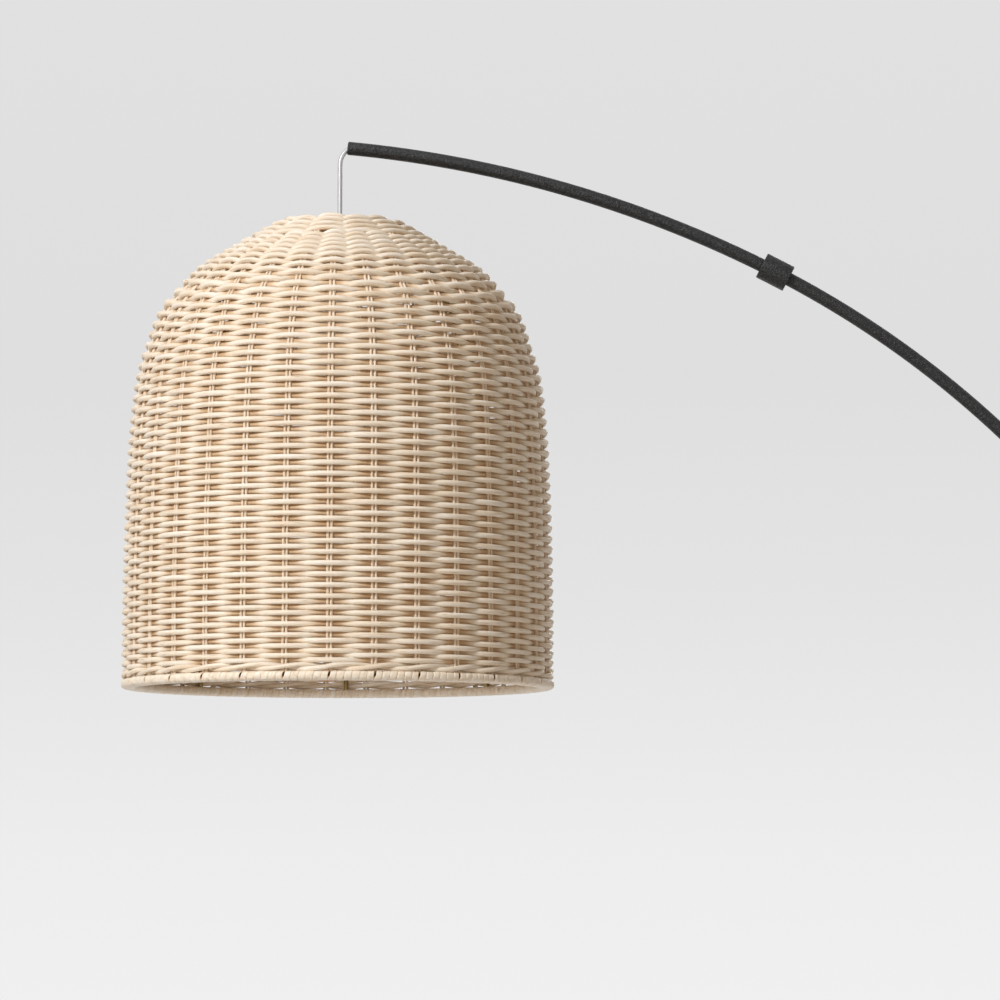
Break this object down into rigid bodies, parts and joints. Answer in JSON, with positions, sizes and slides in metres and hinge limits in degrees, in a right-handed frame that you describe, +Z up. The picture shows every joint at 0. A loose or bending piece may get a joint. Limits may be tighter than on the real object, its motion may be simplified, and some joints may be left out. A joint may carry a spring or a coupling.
{
  "type": "arc floor lamp",
  "caption": "Arc floor lamp: round weighted base, slim black steel pole and curved arm, woven cane dome shade hanging from the tip on a clear cord.",
  "frame": {"origin": "centre of the round base, on the floor under the pole", "axes": "+Z up along the pole; the arm reaches towards -X and lies in the XZ plane; -Y is the side that the picture shows"},
  "size_m": [1.2815, 0.4056, 1.8498],
  "materials": {
    "black_steel": "matte",
    "cast_weight": "matte",
    "zinc_steel": "satin",
    "base_pad": "matte",
    "black_plastic": "satin",
    "clear_cord": "gloss",
    "insulator": "satin",
    "brass": "satin",
    "frame_wire": "satin",
    "cane": "matte",
    "cane_binding": "satin",
    "bulb_base": "satin",
    "bulb_glass": "satin"
  },
  "bodies": {
    "root": {"base_pad": "base_pad", "base_weight": "cast_weight", "base_cover": "black_steel", "base_bolt": "zinc_steel", "base_washer": "zinc_steel", "pole_socket": "black_steel", "socket_screw": "zinc_steel", "cord_gland": "black_plastic", "pole_lower": "black_steel", "pole_upper": "black_steel", "arc_lower": "black_steel", "arc_middle": "black_steel", "arc_tip": "black_steel", "tip_bush": "black_plastic", "supply_lead": "clear_cord", "cord_bend": "clear_cord", "pole_coupling": "black_steel", "pole_screw_upper": "zinc_steel", "pole_screw_lower": "zinc_steel", "shoulder_coupling": "black_steel", "shoulder_screw_upper": "zinc_steel", "shoulder_screw_lower": "zinc_steel", "middle_coupling": "black_steel", "middle_screw_upper": "zinc_steel", "middle_screw_lower": "zinc_steel", "tip_coupling": "black_steel", "tip_screw_upper": "zinc_steel", "tip_screw_lower": "zinc_steel"},
    "cord_top": {"cord_upper": "clear_cord"},
    "cord_drop": {"cord_lower": "clear_cord"},
    "pendant": {"cord_grip": "black_plastic", "holder_cap": "black_plastic", "holder_body": "black_plastic", "holder_insulator": "insulator", "centre_contact": "brass", "screw_shell": "brass", "shade_ring": "black_plastic", "shade_top_ring": "frame_wire", "shade_cage": "frame_wire", "shade_weave": "cane", "waling_band": "cane", "rim_binding": "cane_binding", "bulb_base": "bulb_base", "bulb_glass": "bulb_glass"}
  },
  "joints": [
    {"name": "swing_along_arm", "type": "hinge", "parent": "root", "child": "cord_top", "pos_m": [-0.90871, 0, 1.83211], "axis": [0, 1, 0], "range_deg": [-25, 25]},
    {"name": "swing_sideways", "type": "hinge", "parent": "cord_top", "child": "cord_drop", "pos_m": [-0.90871, 0, 1.81811], "axis": [1, 0, 0], "range_deg": [-25, 25]},
    {"name": "cord_twist", "type": "hinge", "parent": "cord_drop", "child": "pendant", "pos_m": [-0.90871, 0, 1.77053], "axis": [0, 0, 1], "range_deg": [-180, 180]}
  ]
}
